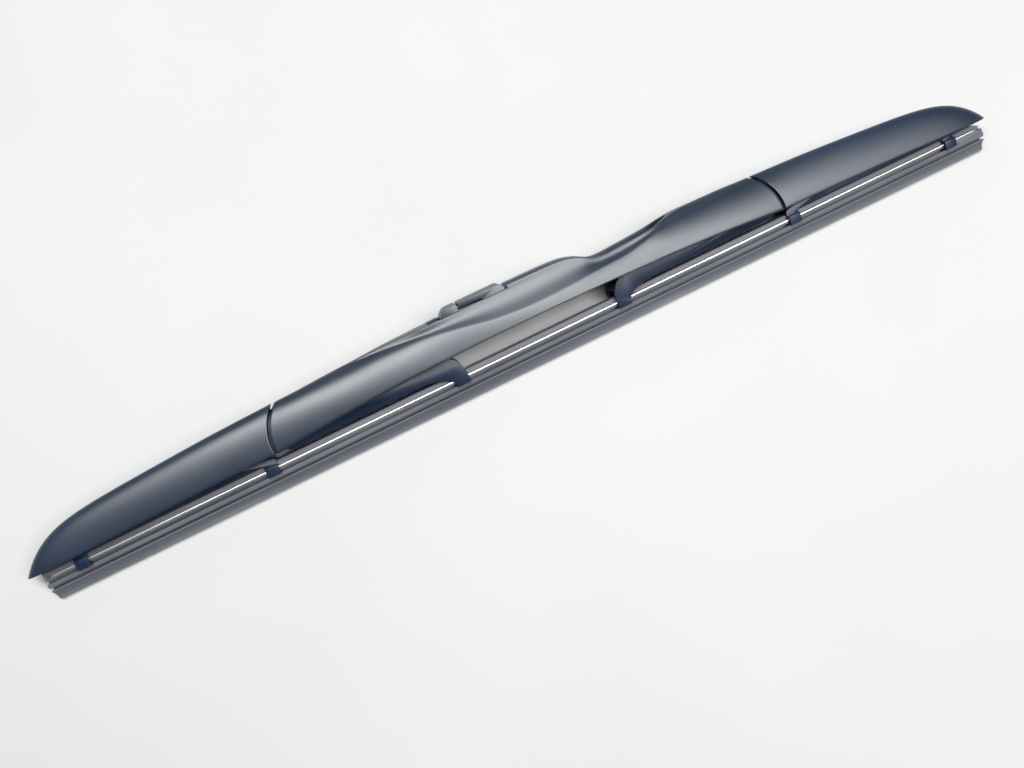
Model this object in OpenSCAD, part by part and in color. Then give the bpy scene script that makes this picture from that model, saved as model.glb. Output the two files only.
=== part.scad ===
// Covered six-claw windscreen wiper blade, lying on its side.
// It is drawn in a blade frame and then laid down:
//   X runs along the blade, Z is the height above the middle of the rails, and
//   Y is the width, with the side that faces up at negative Y.

/* [Rubber] */
// Length of the wiping rubber
rubber_length = 403.2; // [380:0.1:420]
// How far the rubber sits off the middle, towards its closed end
rubber_shift = 0.7; // [0:0.1:1.5]
// Depth of the lip below the middle of the rails
lip_drop = 9.5; // [8.6:0.1:10.4]
// Half width of the lip's edge
lip_half = 0.4; // [0.3:0.05:0.6]
// Half width of the rubber's head, above the rails
head_half = 2.3; // [2:0.05:2.35]
// Height of the head above the rail slots
head_rise = 1.7; // [1:0.1:1.9]
// Half width of the rubber between the two rails
slot_core_half = 1.1; // [0.8:0.1:1.4]
// Half width of the strip under the rails, which the claws hook below
ledge_half = 2.9; // [2.7:0.1:3.3]
// Thickness of that strip
ledge_t = 0.6; // [0.5:0.1:0.9]
// Half width of the rubber inside the claw groove
groove_core_half = 0.9; // [0.7:0.1:1.2]
// Half width of the flange under the claw groove
flange_half = 3.4; // [3:0.1:3.8]
// Thickness of the flange
flange_t = 1.5; // [0.9:0.1:1.8]
// Half width of the thin neck that the lip folds over
neck_half = 0.45; // [0.35:0.05:0.6]
// Height of the neck
neck_h = 1.2; // [0.7:0.1:1.5]
// Half width of the wedge below the neck
wedge_half = 2.7; // [2.3:0.1:3.1]
// Height of the wedge's straight shoulder
shoulder_h = 0.4; // [0.3:0.1:1]
// Length of the block that closes the claw groove at the right end
stopper_len = 13; // [10:0.1:13.4]
// Length of the slanted cut on the head at the right end
head_cut_len = 4; // [2:0.5:6]

/* [Rails] */
// Thickness of a rail
rail_t = 1; // [0.8:0.05:1.2]
// Distance from the blade's middle to a rail's outer edge
rail_outer = 3.6; // [3.3:0.05:3.9]
// Distance from the blade's middle to a rail's inner edge
rail_inner = 1.2; // [1.15:0.05:1.6]
// How far a rail stops short of the rubber's end
rail_setback = 2.5; // [1.5:0.1:4]
// Clearance of a rail in its slot, each side
rail_gap = 0.05; // [0.03:0.01:0.1]

/* [Claws] */
// Distance from the middle to the inner claws
inner_claw_x = 34.8; // [32:0.1:38]
// Distance from the middle to the claws near the cover seams
seam_claw_x = 112.3; // [111:0.1:114]
// Distance from the rubber's end to the end claws
end_claw_inset = 15.4; // [15:0.1:18]
// Length of an inner claw along the blade
inner_claw_w = 5.5; // [4.6:0.1:7]
// Length of the other claws along the blade
yoke_claw_w = 5; // [4:0.1:5.4]
// Thickness of a claw's hook under the rubber strip
hook_t = 0.9; // [0.8:0.1:1.1]
// Distance from the blade's middle to a hook's edge
hook_reach = 1.9; // [1.6:0.1:2.3]
// Clearance of a claw all round the rail and the rubber
claw_gap = 0.12; // [0.08:0.01:0.15]

/* [Levers] */
// Sheet thickness of the levers and yokes
sheet = 0.9; // [0.8:0.05:1]
// Distance from the middle to the lever pivots
lever_pivot_x = 102.5; // [101:0.5:103.5]
// Height of the lever pivots
lever_pivot_z = 10.5; // [10:0.1:10.8]
// Radius of a lever pin
lever_pin_r = 1.9; // [1.6:0.1:2.1]
// Radius of a lever's eye
lever_eye_r = 4.2; // [3.8:0.1:4.4]
// Height of a lever's top edge under the centre cover
lever_top_z = 10.8; // [10.2:0.1:11]
// Height of a lever's lower edge over the rubber
lever_low_z = 3.9; // [3.4:0.1:4.4]
// Height of a lever's top edge beyond its pivot
lever_outer_top_z = 13.4; // [12.8:0.1:13.8]
// Height of a lever's lower edge over the yoke
lever_outer_low_z = 8.9; // [8.6:0.1:9.3]
// Height of the yoke pivots
yoke_pivot_z = 8; // [7.6:0.1:8.3]
// Radius of a yoke pin
yoke_pin_r = 1.7; // [1.4:0.1:1.9]
// Radius of a yoke's eye
yoke_eye_r = 3.3; // [3:0.1:3.5]
// Height of a yoke's lower edge over the rubber
yoke_low_z = 2.6; // [2.4:0.1:2.8]
// Height of a yoke's top edge over its claws
yoke_end_top_z = 3.9; // [3.5:0.1:4.2]
// Radial running clearance of every pin
pin_gap = 0.05; // [0.02:0.01:0.09]
// Thickness of a bush's collar
collar_t = 0.3; // [0.2:0.05:0.4]
// Thickness of a pin's head
pin_head_t = 0.45; // [0.3:0.05:0.5]

/* [Primary lever] */
// Sheet thickness of the primary lever
primary_sheet = 1; // [0.8:0.1:1.1]
// Half width inside the primary lever, at the arm bay
primary_inner_half = 4.9; // [4.8:0.05:5]
// Height of its top in the middle
primary_top_z = 18.8; // [18.4:0.1:19]
// Height of its top under the trough
primary_trough_z = 16.9; // [16.6:0.1:17]
// Height of its top at its ends
primary_end_top_z = 17.3; // [17:0.1:17.6]
// Height of its lower edge in the middle
primary_low_z = 12; // [11.4:0.1:12.6]
// Height of its lower edge over the levers
primary_outer_low_z = 14.7; // [14.6:0.1:15]
// Radius of its ears round the lever pins
ear_r = 3.5; // [3.2:0.1:3.6]

/* [Covers] */
// How far the covers reach past the rubber at each end
cover_overhang = 4.8; // [4:0.1:6]
// Wall of the centre cover
centre_wall = 1.4; // [1.2:0.1:1.5]
// Wall of the end covers
end_wall = 1.15; // [1:0.05:1.2]
// Half width of the cover at its lower edge, in the middle
edge_mid_half = 10.4; // [10.3:0.1:11.2]
// Half width of the cover at its lower edge, at the seams
edge_seam_half = 7.5; // [7.4:0.05:7.6]
// Height of the lower edge in the middle
edge_mid_z = 10.6; // [10:0.1:11]
// Height of the lower edge at the seams
edge_seam_z = 5.35; // [5:0.05:5.6]
// How far the lower edge falls from a seam to the tip
edge_tip_fall = 2.8; // [2:0.1:3]
// Height of the spine at the seams
spine_seam_z = 22.05; // [21.6:0.05:22.6]
// Distance from the middle to the seams at their widest
seam_x = 107.6; // [107.2:0.1:108]
// Radius of the curved seams, seen from the side
seam_r = 20.2; // [18:0.1:24]
// Height of the seam curve's centre
seam_centre_z = 7; // [6:0.1:8]
// Width of the seams
seam_gap = 0.8; // [0.75:0.05:1]
// Share of its height that an end cover loses before its nose
end_fall = 0.235; // [0.21:0.005:0.25]
// Share of its width that an end cover loses before its nose
end_narrowing = 0.13; // [0.1:0.01:0.15]
// Half width of the rounded spine
spine_half = 1; // [0.8:0.05:1.3]

/* [Arm bay] */
// Height of the bay's rim
rim_z = 25.2; // [25:0.1:26]
// Half width of the bay outside
rim_half = 5.9; // [5.8:0.05:6.1]
// Height of the rim beside the adapter, where it is cut lower
rim_notch_z = 23.9; // [23.6:0.1:24.2]
// Height of the line where the scooped side meets the rim
rim_line_z = 23; // [22.6:0.1:23.4]
// Half width of the bay inside
bay_half = 4.6; // [4.5:0.05:4.8]
// Left end of the bay
bay_left_x = -38; // [-39:0.1:-37.5]
// Right end of the open trough for the arm
trough_right_x = 64; // [60:0.5:65]
// Wall between the trough and the crest beside it, at the trough's right end
trough_wall = 1; // [0.8:0.1:1.2]
// Height of the cover's top where the arm passes
valley_z = 20.1; // [19.9:0.1:20.5]
// Where the rim starts to fall to the valley
rim_end_x = 18; // [16:0.5:20]
// Where the valley starts
valley_x = 31; // [29:0.5:33]

/* [Arm adapter] */
// Half width of the adapter
adapter_half = 4.2; // [4:0.05:4.4]
// Left end of the adapter's nose
adapter_left_x = -32.7; // [-33:0.1:-32]
// Right end of the adapter
adapter_right_x = -5.7; // [-7:0.1:-5]
// Height of the adapter's top
adapter_top_z = 26.7; // [26.4:0.1:27.4]
// Thickness of the bar that the arm's hook wraps
adapter_bar_t = 8; // [7.6:0.1:8.4]
// Place of the rivet along the blade
rivet_x = -14; // [-15:0.5:-13]
// Height of the rivet
rivet_z = 15.6; // [15.3:0.1:15.8]
// Radius of the rivet
rivet_r = 2.4; // [2.1:0.1:2.6]
// Radius of the adapter's hub round the rivet
hub_r = 4.1; // [3.7:0.1:4.3]
// Width of the hub's snap-in throat
throat_w = 3.8; // [3:0.1:4]
// Width of the slit round the latch pad
slit_w = 0.6; // [0.4:0.1:0.8]

/* [Hidden] */

navy = "#1d2b45";
navy_metal = "#1a2236";
dark_plastic = "#2b3342";
steel = "#c9c6bd";
rubber_grey = "#4a4a52";

// Places that follow from the driving sizes
rubber_half = rubber_length / 2;
rubber_end_x = rubber_half + rubber_shift;
tip_x = rubber_half + cover_overhang;
end_claw_x = rubber_half - end_claw_inset;
yoke_x = (seam_claw_x + end_claw_x) / 2;
yoke_arm = (end_claw_x - seam_claw_x) / 2;

// Heights in the rubber's section, from the top down
slot_top = rail_t / 2 + rail_gap;
head_top = slot_top + head_rise;
ledge_low = -slot_top - ledge_t;
hook_top = ledge_low - claw_gap;
hook_low = hook_top - hook_t;
flange_top = hook_low - claw_gap;
flange_low = flange_top - flange_t;
neck_low = flange_low - neck_h;

// Widths that nest inside one another, from the rails outwards
jaw_inner = rail_outer + claw_gap;
jaw_outer = jaw_inner + sheet;
ear_outer = jaw_inner - pin_gap - collar_t;
ear_inner = ear_outer - primary_sheet;
yoke_outer = jaw_inner - pin_gap - collar_t;
yoke_inner = yoke_outer - sheet;
primary_outer_half = primary_inner_half + primary_sheet;
bush_wall = 0.65;

// The blade lies on the lower edge of the centre cover's far side, and on the first of the
// claws' hooks, the wedge's shoulder and the lip to meet the floor as it rolls down
rest_points = [
    [jaw_outer, hook_low], [wedge_half, neck_low - shoulder_h], [lip_half, -lip_drop]
];
lay_angle = min([for (p = rest_points) atan((edge_mid_half - p[0]) / (edge_mid_z - p[1]))]);
floor_drop = edge_mid_half * cos(lay_angle) - edge_mid_z * sin(lay_angle);
back_y = adapter_top_z * cos(lay_angle) + adapter_half * sin(lay_angle);
front_y = -lip_drop * cos(lay_angle) - lip_half * sin(lay_angle);

// Laid down on its side: the spine points back and a little up
module lay_down() {
    translate([0, -(back_y + front_y) / 2, floor_drop])
        rotate([lay_angle - 90, 0, 0])
            children();
}

// General helpers
function lerp(a, b, t) = a + (b - a) * t;
function smooth(t) = t <= 0 ? 0 : t >= 1 ? 1 : t * t * (3 - 2 * t);
function reversed(list) = [for (i = [len(list) - 1 : -1 : 0]) list[i]];
function arc(c, a, b, from, to, n) =
    [for (i = [0 : n]) let (q = lerp(from, to, i / n)) [c[0] + a * cos(q), c[1] + b * sin(q)]];

// A smooth curve through rows of keys: the first column is x, the rest are the values there
function slope(keys, i) =
    let (a = max(i - 1, 0), b = min(i + 1, len(keys) - 1))
    (keys[b] - keys[a]) / (keys[b][0] - keys[a][0]);
function span(keys, x, i = 0) = i >= len(keys) - 2 || x < keys[i + 1][0] ? i : span(keys, x, i + 1);
function spline(keys, x) =
    let (
        i = span(keys, x),
        gap = keys[i + 1][0] - keys[i][0],
        t = min(max((x - keys[i][0]) / gap, 0), 1)
    )
    keys[i] * (2 * pow(t, 3) - 3 * t * t + 1) + slope(keys, i) * gap * (pow(t, 3) - 2 * t * t + t)
        + keys[i + 1] * (3 * t * t - 2 * pow(t, 3)) + slope(keys, i + 1) * gap * (pow(t, 3) - t * t);

// A side outline, drawn as X and Z, made solid between two widths
module slab(y0, y1) {
    translate([0, y1, 0])
        rotate([90, 0, 0])
            linear_extrude(y1 - y0)
                children();
}

// The same on both sides of the blade's middle
module both_sides(y0, y1) {
    slab(y0, y1) children();
    slab(-y1, -y0) children();
}

// A plan outline, drawn as X and Y, between two heights
module tall(z0, z1) {
    translate([0, 0, z0])
        linear_extrude(z1 - z0)
            children();
}

// A round bar across the blade
module cross_bar(x, z, r, half) {
    translate([x, 0, z])
        rotate([90, 0, 0])
            cylinder(r = r, h = 2 * half, center = true, $fn = 48);
}

// The left half of the blade mirrors the right half where the two are alike
module on_side(side) {
    mirror([side < 0 ? 1 : 0, 0, 0])
        children();
}

// The covers' outer form

function end_share(x) = (abs(x) - seam_x) / (tip_x - seam_x);
function edge_z(x) =
    abs(x) <= seam_x
        ? edge_mid_z - (edge_mid_z - edge_seam_z) * pow(abs(x) / seam_x, 2)
        : edge_seam_z - edge_tip_fall * pow(end_share(x), 1.5);
function edge_half(x) =
    abs(x) <= seam_x
        ? edge_mid_half - (edge_mid_half - edge_seam_half) * pow(abs(x) / seam_x, 1.6)
        : edge_seam_half * (1 - end_narrowing * end_share(x)) * sqrt(1 - pow(end_share(x), 12));
function end_spine_z(x) =
    edge_z(x) + (spine_seam_z - edge_seam_z) * (1 - end_fall * end_share(x))
        * pow(1 - pow(end_share(x), 10.5), 1.1);

// Control sections of the centre cover, each half of one going up from the lower edge:
// x, ridge half width and height, rim line half width and height,
// crest half width and height, spine height, and how rounded the side is
spine_keys = [
    [-seam_x, spine_half, spine_seam_z - 0.15, spine_half * 0.7, spine_seam_z - 0.07,
        spine_half * 0.4, spine_seam_z - 0.02, spine_seam_z, 1],
    [-92, spine_half, spine_seam_z + 0.2, spine_half * 0.7, spine_seam_z + 0.28,
        spine_half * 0.4, spine_seam_z + 0.33, spine_seam_z + 0.35, 1],
    [-78, spine_half, spine_seam_z + 0.8, spine_half * 0.75, spine_seam_z + 0.9,
        spine_half * 0.5, spine_seam_z + 1, spine_seam_z + 1.05, 1],
    [-69, 2.1, rim_line_z - 0.4, 1.6, rim_line_z - 0.05, 1.3, rim_line_z + 0.3, rim_line_z + 0.45, 0.95],
    [-58, 3.9, rim_line_z - 0.8, 3.2, rim_line_z - 0.2, 2.8, rim_z - 1.4, rim_z - 1.25, 0.85],
    [-47, 5.6, rim_line_z - 1.7, 4.6, rim_line_z - 0.4, 4.2, rim_z - 1.25, rim_z - 1.1, 0.7],
    [-38, 7, rim_line_z - 2.8, rim_half - 0.3, rim_line_z - 0.2, rim_half - 0.5, rim_z - 1.2, rim_z - 1.05, 0.55],
    [-28, 8.2, rim_line_z - 4.3, rim_half, rim_line_z, rim_half - 0.3, rim_z - 0.8, rim_z - 0.6, 0.45],
    [-14, 9.2, rim_line_z - 6.8, rim_half, rim_line_z, rim_half - 0.3, rim_z - 0.1, rim_z + 0.1, 0.35],
    [0, 9.5, rim_line_z - 7.8, rim_half, rim_line_z, rim_half - 0.3, rim_z, rim_z + 0.2, 0.35],
    [rim_end_x, 9.1, rim_line_z - 7.4, rim_half, rim_line_z - 0.3, rim_half - 0.3, rim_z - 0.5,
        rim_z - 0.3, 0.35],
    [(rim_end_x + valley_x) / 2, 8.7, rim_line_z - 6.9, rim_half, lerp(rim_z, valley_z, 0.42) - 1.4,
        rim_half - 0.3, lerp(rim_z, valley_z, 0.42), lerp(rim_z, valley_z, 0.42) + 0.15, 0.4],
    [valley_x, 8.3, rim_line_z - 6.5, rim_half, valley_z - 0.9, rim_half - 0.35, valley_z,
        valley_z + 0.1, 0.45],
    [42, 7.9, rim_line_z - 6, rim_half, valley_z - 0.8, rim_half - 0.4, valley_z + 0.05,
        valley_z + 0.15, 0.5],
    [55, 6.9, rim_line_z - 3.7, rim_half - 0.1, valley_z + 0.2, rim_half - 0.4, valley_z + 0.9,
        valley_z + 1, 0.65],
    [66, 4.1, rim_line_z - 1.5, 3.4, rim_line_z - 0.65, 2.8, rim_line_z - 0.25, rim_line_z - 0.1, 0.85],
    [76, 1.6, rim_line_z - 0.4, 1.3, rim_line_z - 0.25, 1, rim_line_z - 0.15, rim_line_z - 0.05, 1],
    [92, spine_half, spine_seam_z + 0.4, spine_half * 0.7, spine_seam_z + 0.48,
        spine_half * 0.4, spine_seam_z + 0.53, spine_seam_z + 0.55, 1],
    [seam_x, spine_half, spine_seam_z - 0.15, spine_half * 0.7, spine_seam_z - 0.07,
        spine_half * 0.4, spine_seam_z - 0.02, spine_seam_z, 1]
];

// An end cover's section has the same parts, with the spine falling to the tip
function end_section(x) =
    let (top = end_spine_z(x), low = edge_z(x), s = min(spine_half, edge_half(x) * 0.3), f = (top - low) / 16)
    [x, s, top - 0.15 * f, s * 0.7, top - 0.07 * f, s * 0.4, top - 0.02 * f, top, 1];
function cover_section(x) = abs(x) <= seam_x ? spline(spine_keys, x) : end_section(x);

// Half of a section, from the lower edge up to the spine, as width and height
flank_steps = 6;
function half_section(k, edge) =
    let (ridge = [k[1], k[2]], line = [k[3], k[4]], crest = [k[5], k[6]])
    concat(
        [for (i = [0 : flank_steps])
            let (t = i / flank_steps)
            lerp(
                lerp(edge, ridge, t),
                [ridge[0] + (edge[0] - ridge[0]) * cos(90 * t), edge[1] + (ridge[1] - edge[1]) * sin(90 * t)],
                k[8]
            )],
        [lerp(ridge, line, 0.5), line, crest, [0, k[7]]]
    );

// The inside of the wall has the same section, drawn in by the wall
function drawn_in(k, wall) =
    let (top = k[7] - wall)
    [k[0], max(k[1] - wall, 0.6), min(k[2] - 0.3 * wall, top - 0.2),
        max(k[3] - wall, 0.4), min(k[4] - 0.3 * wall, top - 0.1),
        max(k[5] - wall, 0.2), min(k[6] - wall, top - 0.03), top, k[8]];

// Where the cover is solid its underside is only slightly hollow
function flat_half(n, edge) =
    [for (i = [0 : n]) [edge[0] * 0.8 * (n - i) / n, edge[1] + edge[0] * 0.12 * sin(90 * (i + 1) / (n + 1))]];

// The seam is an arc, seen from the side, so the sections near it lean with it
seam_blend = 22;
function seam_lean(z, r) = sqrt(r * r - pow(z - seam_centre_z, 2)) - seam_r;
function leaned_x(x, z, r) =
    let (w = 1 - smooth(abs(abs(x) - seam_x) / seam_blend))
    x + (x < 0 ? -1 : 1) * w * seam_lean(z, r);

// One closed ring of wall points at a station: out over the spine, and back inside
function wall_ring(x, wall, r, hollow) =
    let (
        k = cover_section(x),
        edge = [edge_half(x), edge_z(x)],
        out = half_section(k, edge),
        last = len(out) - 1,
        in = hollow ? half_section(drawn_in(k, wall), edge - [wall, 0]) : flat_half(last, edge)
    )
    [for (p = concat(
        [for (i = [0 : last]) [-out[i][0], out[i][1]]],
        [for (i = [last - 1 : -1 : 0]) out[i]],
        in,
        [for (i = [last - 1 : -1 : 0]) [-in[i][0], in[i][1]]]
    )) [leaned_x(x, p[1], r), p[0], p[1]]];

// Skins the rings of wall points, and closes both ends between the outside and the inside
module skin(rings) {
    n = len(rings[0]);
    m = n / 2;
    last = len(rings) - 1;
    sides = [for (i = [0 : last - 1], j = [0 : n - 1])
        let (a = i * n + j, b = i * n + (j + 1) % n)
        each [[a, b, b + n], [a, b + n, a + n]]];
    function end_faces(base, flip) = [for (j = [0 : m - 2])
        let (a = base + j, b = base + j + 1, c = base + n - 2 - j, d = base + n - 1 - j)
        each (flip ? [[a, c, b], [a, d, c]] : [[a, b, c], [a, c, d]])];
    polyhedron(
        points = [for (ring = rings) each ring],
        faces = concat(sides, end_faces(0, true), end_faces(last * n, false)),
        convexity = 8
    );
}

// Rubber

function wedge_side(t) =
    [lerp(wedge_half, lip_half, pow(t, 0.65)), lerp(neck_low - shoulder_h, -lip_drop, t)];

module rubber_section() {
    right = concat(
        [
            [head_half - 0.5, head_top], [head_half, head_top - 0.5], [head_half, slot_top],
            [slot_core_half, slot_top], [slot_core_half, -slot_top], [ledge_half, -slot_top],
            [ledge_half, ledge_low], [groove_core_half, ledge_low], [groove_core_half, flange_top],
            [flange_half, flange_top], [flange_half - 0.2, flange_low], [neck_half, flange_low],
            [neck_half, neck_low], [wedge_half, neck_low]
        ],
        [for (i = [0 : 5]) wedge_side(i / 5)]
    );
    polygon(concat(right, reversed([for (p = right) [-p[0], p[1]]])));
}

module rubber_blade() {
    color(rubber_grey) lay_down()
        difference() {
            union() {
                translate([rubber_shift, 0, 0])
                    rotate([90, 0, 90])
                        linear_extrude(rubber_length, center = true)
                            rubber_section();
                // The block that keeps the right end claw on the rubber
                translate([rubber_end_x - stopper_len, -flange_half + 0.2, flange_top - 0.1])
                    cube([stopper_len, 2 * flange_half - 0.4, -slot_top - flange_top + 0.1]);
            }
            // The slanted cut above the rails at that end
            slab(-head_half - 1, head_half + 1)
                polygon([
                    [rubber_end_x - head_cut_len, head_top], [rubber_end_x, slot_top + 0.1],
                    [rubber_end_x + 1, slot_top + 0.1], [rubber_end_x + 1, head_top + 1],
                    [rubber_end_x - head_cut_len, head_top + 1]
                ]);
        }
}

// A spring steel rail with rounded ends, notched near each end for the rubber's nibs
module rail(side) {
    w = rail_outer - rail_inner;
    length = rubber_length - 2 * rail_setback;
    notch_r = 0.5;
    notch_inset = 9;
    color(steel) lay_down() translate([rubber_shift, 0, 0])
        difference() {
            tall(-rail_t / 2, rail_t / 2)
                translate([0, side * (rail_inner + rail_outer) / 2])
                    union() {
                        square([length - w, w], center = true);
                        for (end = [-1, 1])
                            translate([end * (length - w) / 2, 0])
                                circle(d = w, $fn = 32);
                    }
            for (end = [-1, 1])
                translate([end * (length / 2 - notch_inset), side * rail_inner, 0])
                    cylinder(r = notch_r, h = 2 * rail_t, center = true, $fn = 24);
        }
}
module front_rail() { rail(-1); }
module back_rail() { rail(1); }

// Claws: the hooks turn in under the rubber strip, below both rails
module claw_hooks(x, w) {
    for (side = [-1, 1])
        translate([x - w / 2, side < 0 ? -jaw_outer : hook_reach, hook_low])
            cube([w, jaw_outer - hook_reach, hook_t]);
}

// Levers

nose_x = inner_claw_x - inner_claw_w / 2;
nose_run = 9.9;
nose_low_z = 1.5;
heel_x = inner_claw_x + inner_claw_w / 2;
heel_run = 14;
shoulder_x = lever_pivot_x + 27;
yoke_clear_x = seam_claw_x - yoke_claw_w / 2 - 2;

module lever_outline() {
    polygon(concat(
        [[nose_x, hook_low], [heel_x, hook_low]],
        arc([heel_x + heel_run, -1], heel_run, lever_low_z + 1, 180, 90, 8),
        [
            [yoke_clear_x - 5, lever_low_z], [yoke_clear_x, lever_outer_low_z],
            [yoke_x - 22, lever_outer_low_z], [yoke_x - 6, yoke_pivot_z - 2.6],
            [yoke_x, yoke_pivot_z - 2.6], [yoke_x, yoke_pivot_z + 2.6],
            [shoulder_x, lever_outer_top_z - 0.6], [lever_pivot_x + 7, lever_outer_top_z],
            [lever_pivot_x, lever_outer_top_z],
            [lever_pivot_x - 7, lever_top_z]
        ],
        arc([nose_x + nose_run, nose_low_z], nose_run, lever_top_z - nose_low_z, 90, 180, 10)
    ));
    translate([lever_pivot_x, lever_pivot_z])
        circle(r = lever_eye_r, $fn = 48);
    translate([yoke_x, yoke_pivot_z])
        circle(r = yoke_eye_r - 0.1, $fn = 48);
}

// Top of the lever's outer web
web_inset = 0.15;
function lever_web_top(x) =
    lookup(x, [
        [lever_pivot_x + 7, lever_outer_top_z], [shoulder_x, lever_outer_top_z - 0.6],
        [yoke_x, yoke_pivot_z + 2.6]
    ]) - web_inset;

// The webs that join the two flanges: along the arm and its nose, and over the yoke
lever_web_end_x = yoke_x - 10;

module lever_webs() {
    rise = lever_top_z - nose_low_z;
    line = [for (x = [lever_pivot_x + 8, shoulder_x, lever_web_end_x]) [x, lever_web_top(x)]];
    slab(-jaw_inner - 0.05, jaw_inner + 0.05) {
        polygon(concat(
            [[lever_pivot_x - 8, lever_top_z - sheet], [lever_pivot_x - 8, lever_top_z - web_inset]],
            arc([nose_x + nose_run, nose_low_z], nose_run - web_inset, rise - web_inset, 90, 160, 8),
            arc([nose_x + nose_run, nose_low_z], nose_run - sheet, rise - sheet, 160, 90, 8)
        ));
        polygon(concat([for (p = line) p - [0, sheet]], reversed(line)));
    }
}

module lever(side) {
    color(navy_metal) lay_down() on_side(side)
        difference() {
            union() {
                both_sides(jaw_inner, jaw_outer) lever_outline();
                lever_webs();
                claw_hooks(inner_claw_x, inner_claw_w);
            }
            cross_bar(lever_pivot_x, lever_pivot_z, lever_pin_r, jaw_outer + 1);
            cross_bar(yoke_x, yoke_pivot_z, yoke_pin_r, jaw_outer + 1);
        }
}
module left_lever() { lever(-1); }
module right_lever() { lever(1); }

// Yokes

yoke_web_run = 16;

// The yoke's own channel, which reaches down to its claws at both ends
module yoke_outline() {
    polygon([
        [yoke_x - yoke_arm - yoke_claw_w / 2, claw_ledge_low], [yoke_x - yoke_arm + yoke_claw_w / 2, claw_ledge_low],
        [yoke_x - yoke_arm + yoke_claw_w / 2, yoke_low_z - 0.8],
        [yoke_x - yoke_arm + yoke_claw_w / 2 + 0.8, yoke_low_z],
        [yoke_x + yoke_arm - yoke_claw_w / 2 - 0.8, yoke_low_z],
        [yoke_x + yoke_arm - yoke_claw_w / 2, yoke_low_z - 0.8],
        [yoke_x + yoke_arm - yoke_claw_w / 2, claw_ledge_low], [yoke_x + yoke_arm + yoke_claw_w / 2, claw_ledge_low],
        [yoke_x + yoke_arm + yoke_claw_w / 2, yoke_end_top_z - 0.8],
        [yoke_x + yoke_arm + yoke_claw_w / 2 - 0.8, yoke_end_top_z],
        [yoke_x + 3, yoke_pivot_z + 2.4], [yoke_x - 3, yoke_pivot_z + 2.4],
        [yoke_x - yoke_arm - yoke_claw_w / 2 + 0.8, yoke_end_top_z],
        [yoke_x - yoke_arm - yoke_claw_w / 2, yoke_end_top_z - 0.8]
    ]);
    translate([yoke_x, yoke_pivot_z])
        circle(r = yoke_eye_r, $fn = 48);
}

// A yoke's claw: it steps out over the rails, goes down past them and turns in under the strip
claw_ledge_low = rail_t / 2 + claw_gap;
module flared_claw(x) {
    claw_hooks(x, yoke_claw_w);
    for (side = [-1, 1])
        mirror([0, side < 0 ? 1 : 0, 0])
            translate([x - yoke_claw_w / 2, 0, 0])
                rotate([90, 0, 90])
                    linear_extrude(yoke_claw_w)
                        polygon([
                            [yoke_inner, claw_ledge_low], [jaw_inner, claw_ledge_low], [jaw_inner, hook_low + 0.1],
                            [jaw_outer, hook_low + 0.1], [jaw_outer, claw_ledge_low + sheet - 0.35],
                            [jaw_outer - 0.35, claw_ledge_low + sheet], [yoke_inner, claw_ledge_low + sheet]
                        ]);
}

// Height of a yoke's top edge at a distance from its pivot
yoke_reach = yoke_arm + yoke_claw_w / 2 - 0.8;
function yoke_top(d) = lerp(yoke_pivot_z + 2.4, yoke_end_top_z, (d - 3) / (yoke_reach - 3));

module yoke(side) {
    web_in = yoke_reach - yoke_web_run;
    web_out = yoke_reach - 0.2;
    color(navy_metal) lay_down() on_side(side)
        difference() {
            union() {
                both_sides(yoke_inner, yoke_outer) yoke_outline();
                slab(-yoke_inner - 0.05, yoke_inner + 0.05)
                    for (s = [-1, 1])
                        polygon([
                            [yoke_x + s * web_in, yoke_top(web_in) - web_inset],
                            [yoke_x + s * web_out, yoke_top(web_out) - web_inset],
                            [yoke_x + s * web_out, yoke_top(web_out) - sheet],
                            [yoke_x + s * web_in, yoke_top(web_in) - sheet]
                        ]);
                flared_claw(seam_claw_x);
                flared_claw(end_claw_x);
            }
            cross_bar(yoke_x, yoke_pivot_z, yoke_pin_r + pin_gap + bush_wall, jaw_outer + 1);
        }
}
module left_yoke() { yoke(-1); }
module right_yoke() { yoke(1); }

// Pins and bushes

// A shouldered pin, riveted over at both ends
module pin(side, x, z, r, half) {
    color(steel) lay_down() on_side(side) {
        cross_bar(x, z, r, half + 0.01);
        for (s = [-1, 1])
            translate([0, s * (half + pin_head_t / 2), 0])
                cross_bar(x, z, r + 0.55, pin_head_t / 2);
    }
}

// A sleeve with a collar at each side
module bush(side, x, z, bore_r, outer_r, collar_r, inside_half) {
    color(dark_plastic) lay_down() on_side(side)
        difference() {
            union() {
                cross_bar(x, z, outer_r, inside_half + collar_t);
                for (s = [-1, 1])
                    translate([0, s * (inside_half + collar_t / 2), 0])
                        cross_bar(x, z, collar_r, collar_t / 2);
            }
            cross_bar(x, z, bore_r, inside_half + 1);
        }
}

module left_pivot_pin() { pin(-1, lever_pivot_x, lever_pivot_z, lever_pin_r, jaw_outer); }
module right_pivot_pin() { pin(1, lever_pivot_x, lever_pivot_z, lever_pin_r, jaw_outer); }
module left_yoke_pin() { pin(-1, yoke_x, yoke_pivot_z, yoke_pin_r, jaw_outer); }
module right_yoke_pin() { pin(1, yoke_x, yoke_pivot_z, yoke_pin_r, jaw_outer); }

module pivot_bush(side) {
    bore_r = lever_pin_r + pin_gap;
    bush(side, lever_pivot_x, lever_pivot_z, bore_r, bore_r + bush_wall, bore_r + 1.2, ear_outer);
}
module yoke_bush(side) {
    bore_r = yoke_pin_r + pin_gap;
    bush(side, yoke_x, yoke_pivot_z, bore_r, bore_r + bush_wall, bore_r + 1.1, yoke_outer);
}
module left_pivot_bush() { pivot_bush(-1); }
module right_pivot_bush() { pivot_bush(1); }
module left_yoke_bush() { yoke_bush(-1); }
module right_yoke_bush() { yoke_bush(1); }

// Primary lever

step_x = 51;
step_run = 12;
web_cut_right_x = 6;

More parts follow.
